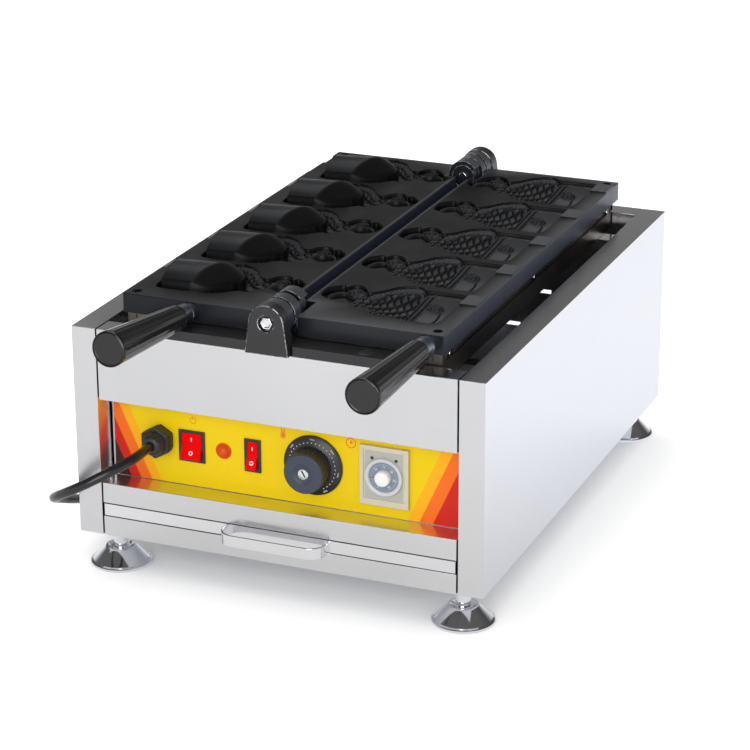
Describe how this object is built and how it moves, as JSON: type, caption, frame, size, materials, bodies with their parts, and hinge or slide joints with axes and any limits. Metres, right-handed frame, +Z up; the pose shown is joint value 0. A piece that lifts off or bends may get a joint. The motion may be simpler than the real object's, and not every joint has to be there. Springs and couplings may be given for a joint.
{
  "type": "taiyaki maker",
  "caption": "Countertop cooker for open-mouthed fish cakes: hinged twin mould plates with handles over a stainless box with controls, crumb drawer, level feet and mains lead.",
  "frame": {"origin": "on the floor, under the middle of the object without its mains lead", "axes": "+X to the right seen from the front, +Y from the control panel to the back, +Z up"},
  "size_m": [0.5466, 0.6607, 0.2864],
  "materials": {
    "stainless": "fine brushed",
    "polished_steel": "polished",
    "black_bar": "black, lightly textured",
    "cast_plate": "dark satin cast",
    "collar_metal": "grey-blue satin",
    "black_grip": "gloss black",
    "black_plastic": "satin black",
    "red_plastic": "gloss red",
    "orange_lens": "clear gloss lens",
    "label_film": "printed film",
    "cream_plastic": "satin",
    "scale_print": "printed",
    "white_plastic": "gloss",
    "cord_rubber": "soft black"
  },
  "bodies": {
    "base": {"left_side_panel": "stainless", "right_side_panel": "stainless", "front_upper_panel": "stainless", "control_panel": "stainless", "front_ledge": "stainless", "bottom_rail": "stainless", "rear_panel": "stainless", "bottom_panel": "stainless", "bay_partition": "stainless", "plate_rests": "stainless", "control_label": "label_film", "hinge_bars": "black_bar", "hinge_bar_screws": "black_bar", "hinge_ears": "black_bar", "hinge_pins": "polished_steel", "cable_gland": "black_plastic", "gland_locknut": "black_plastic", "power_switch_body": "black_plastic", "pilot_lamp": "orange_lens", "alarm_switch_body": "black_plastic", "thermostat_body": "cream_plastic", "timer_frame": "cream_plastic", "timer_body": "black_plastic", "timer_scale": "scale_print", "terminal_block": "cream_plastic", "contactor": "black_plastic", "buzzer": "black_plastic", "drawer_runners": "stainless", "foot_bushes": "polished_steel", "power_cord": "cord_rubber", "cord_coil": "cord_rubber", "mains_plug": "cord_rubber"},
    "left_mould": {"left_plate": "cast_plate", "left_hinge_hooks": "cast_plate", "left_heater_box": "stainless", "left_box_screws": "polished_steel", "left_heater_tubes": "stainless", "left_handle_rod": "collar_metal", "left_grip": "black_grip", "left_grip_cap": "black_grip"},
    "right_mould": {"right_plate": "cast_plate", "right_hinge_knuckles": "cast_plate", "right_heater_box": "stainless", "right_box_screws": "polished_steel", "right_heater_tubes": "stainless", "right_handle_rod": "collar_metal", "right_grip": "black_grip", "right_grip_cap": "black_grip"},
    "drawer": {"drawer_tray": "stainless", "drawer_front": "polished_steel", "drawer_handle": "polished_steel"},
    "power_rocker": {"power_rocker": "red_plastic"},
    "alarm_rocker": {"alarm_rocker": "red_plastic"},
    "temperature_dial": {"temp_knob": "black_plastic", "thermostat_shaft": "polished_steel"},
    "timer_dial": {"timer_knob": "white_plastic"},
    "foot_front_left": {"foot_front_left": "polished_steel"},
    "foot_front_right": {"foot_front_right": "polished_steel"},
    "foot_rear_left": {"foot_rear_left": "polished_steel"},
    "foot_rear_right": {"foot_rear_right": "polished_steel"}
  },
  "joints": [
    {"name": "left_mould_fold", "type": "hinge", "parent": "base", "child": "left_mould", "pos_m": [-0.003, -0.21156, 0.2693], "axis": [0, 1, 0], "range_deg": [0, 180]},
    {"name": "right_mould_fold", "type": "hinge", "parent": "base", "child": "right_mould", "pos_m": [-0.003, -0.21156, 0.2693], "axis": [0, -1, 0], "range_deg": [0, 180]},
    {"name": "drawer_slide", "type": "slide", "parent": "base", "child": "drawer", "axis": [0, -1, 0], "range_m": [0, 0.33]},
    {"name": "power_switch_tilt", "type": "hinge", "parent": "base", "child": "power_rocker", "pos_m": [-0.0927, -0.18906, 0.1295], "axis": [1, 0, 0], "range_deg": [0, 22]},
    {"name": "alarm_switch_tilt", "type": "hinge", "parent": "base", "child": "alarm_rocker", "pos_m": [-0.0316, -0.18906, 0.1295], "axis": [1, 0, 0], "range_deg": [0, 22]},
    {"name": "temperature_turn", "type": "hinge", "parent": "base", "child": "temperature_dial", "pos_m": [0.0283, -0.18796, 0.1295], "axis": [0, 1, 0], "range_deg": [0, 300]},
    {"name": "timer_turn", "type": "hinge", "parent": "base", "child": "timer_dial", "pos_m": [0.0978, -0.18796, 0.1295], "axis": [0, 1, 0], "range_deg": [0, 300]},
    {"name": "foot_front_left_height", "type": "slide", "parent": "base", "child": "foot_front_left", "axis": [0, 0, -1], "range_m": [-0.01, 0.01]},
    {"name": "foot_front_right_height", "type": "slide", "parent": "base", "child": "foot_front_right", "axis": [0, 0, -1], "range_m": [-0.01, 0.01]},
    {"name": "foot_rear_left_height", "type": "slide", "parent": "base", "child": "foot_rear_left", "axis": [0, 0, -1], "range_m": [-0.01, 0.01]},
    {"name": "foot_rear_right_height", "type": "slide", "parent": "base", "child": "foot_rear_right", "axis": [0, 0, -1], "range_m": [-0.01, 0.01]}
  ]
}
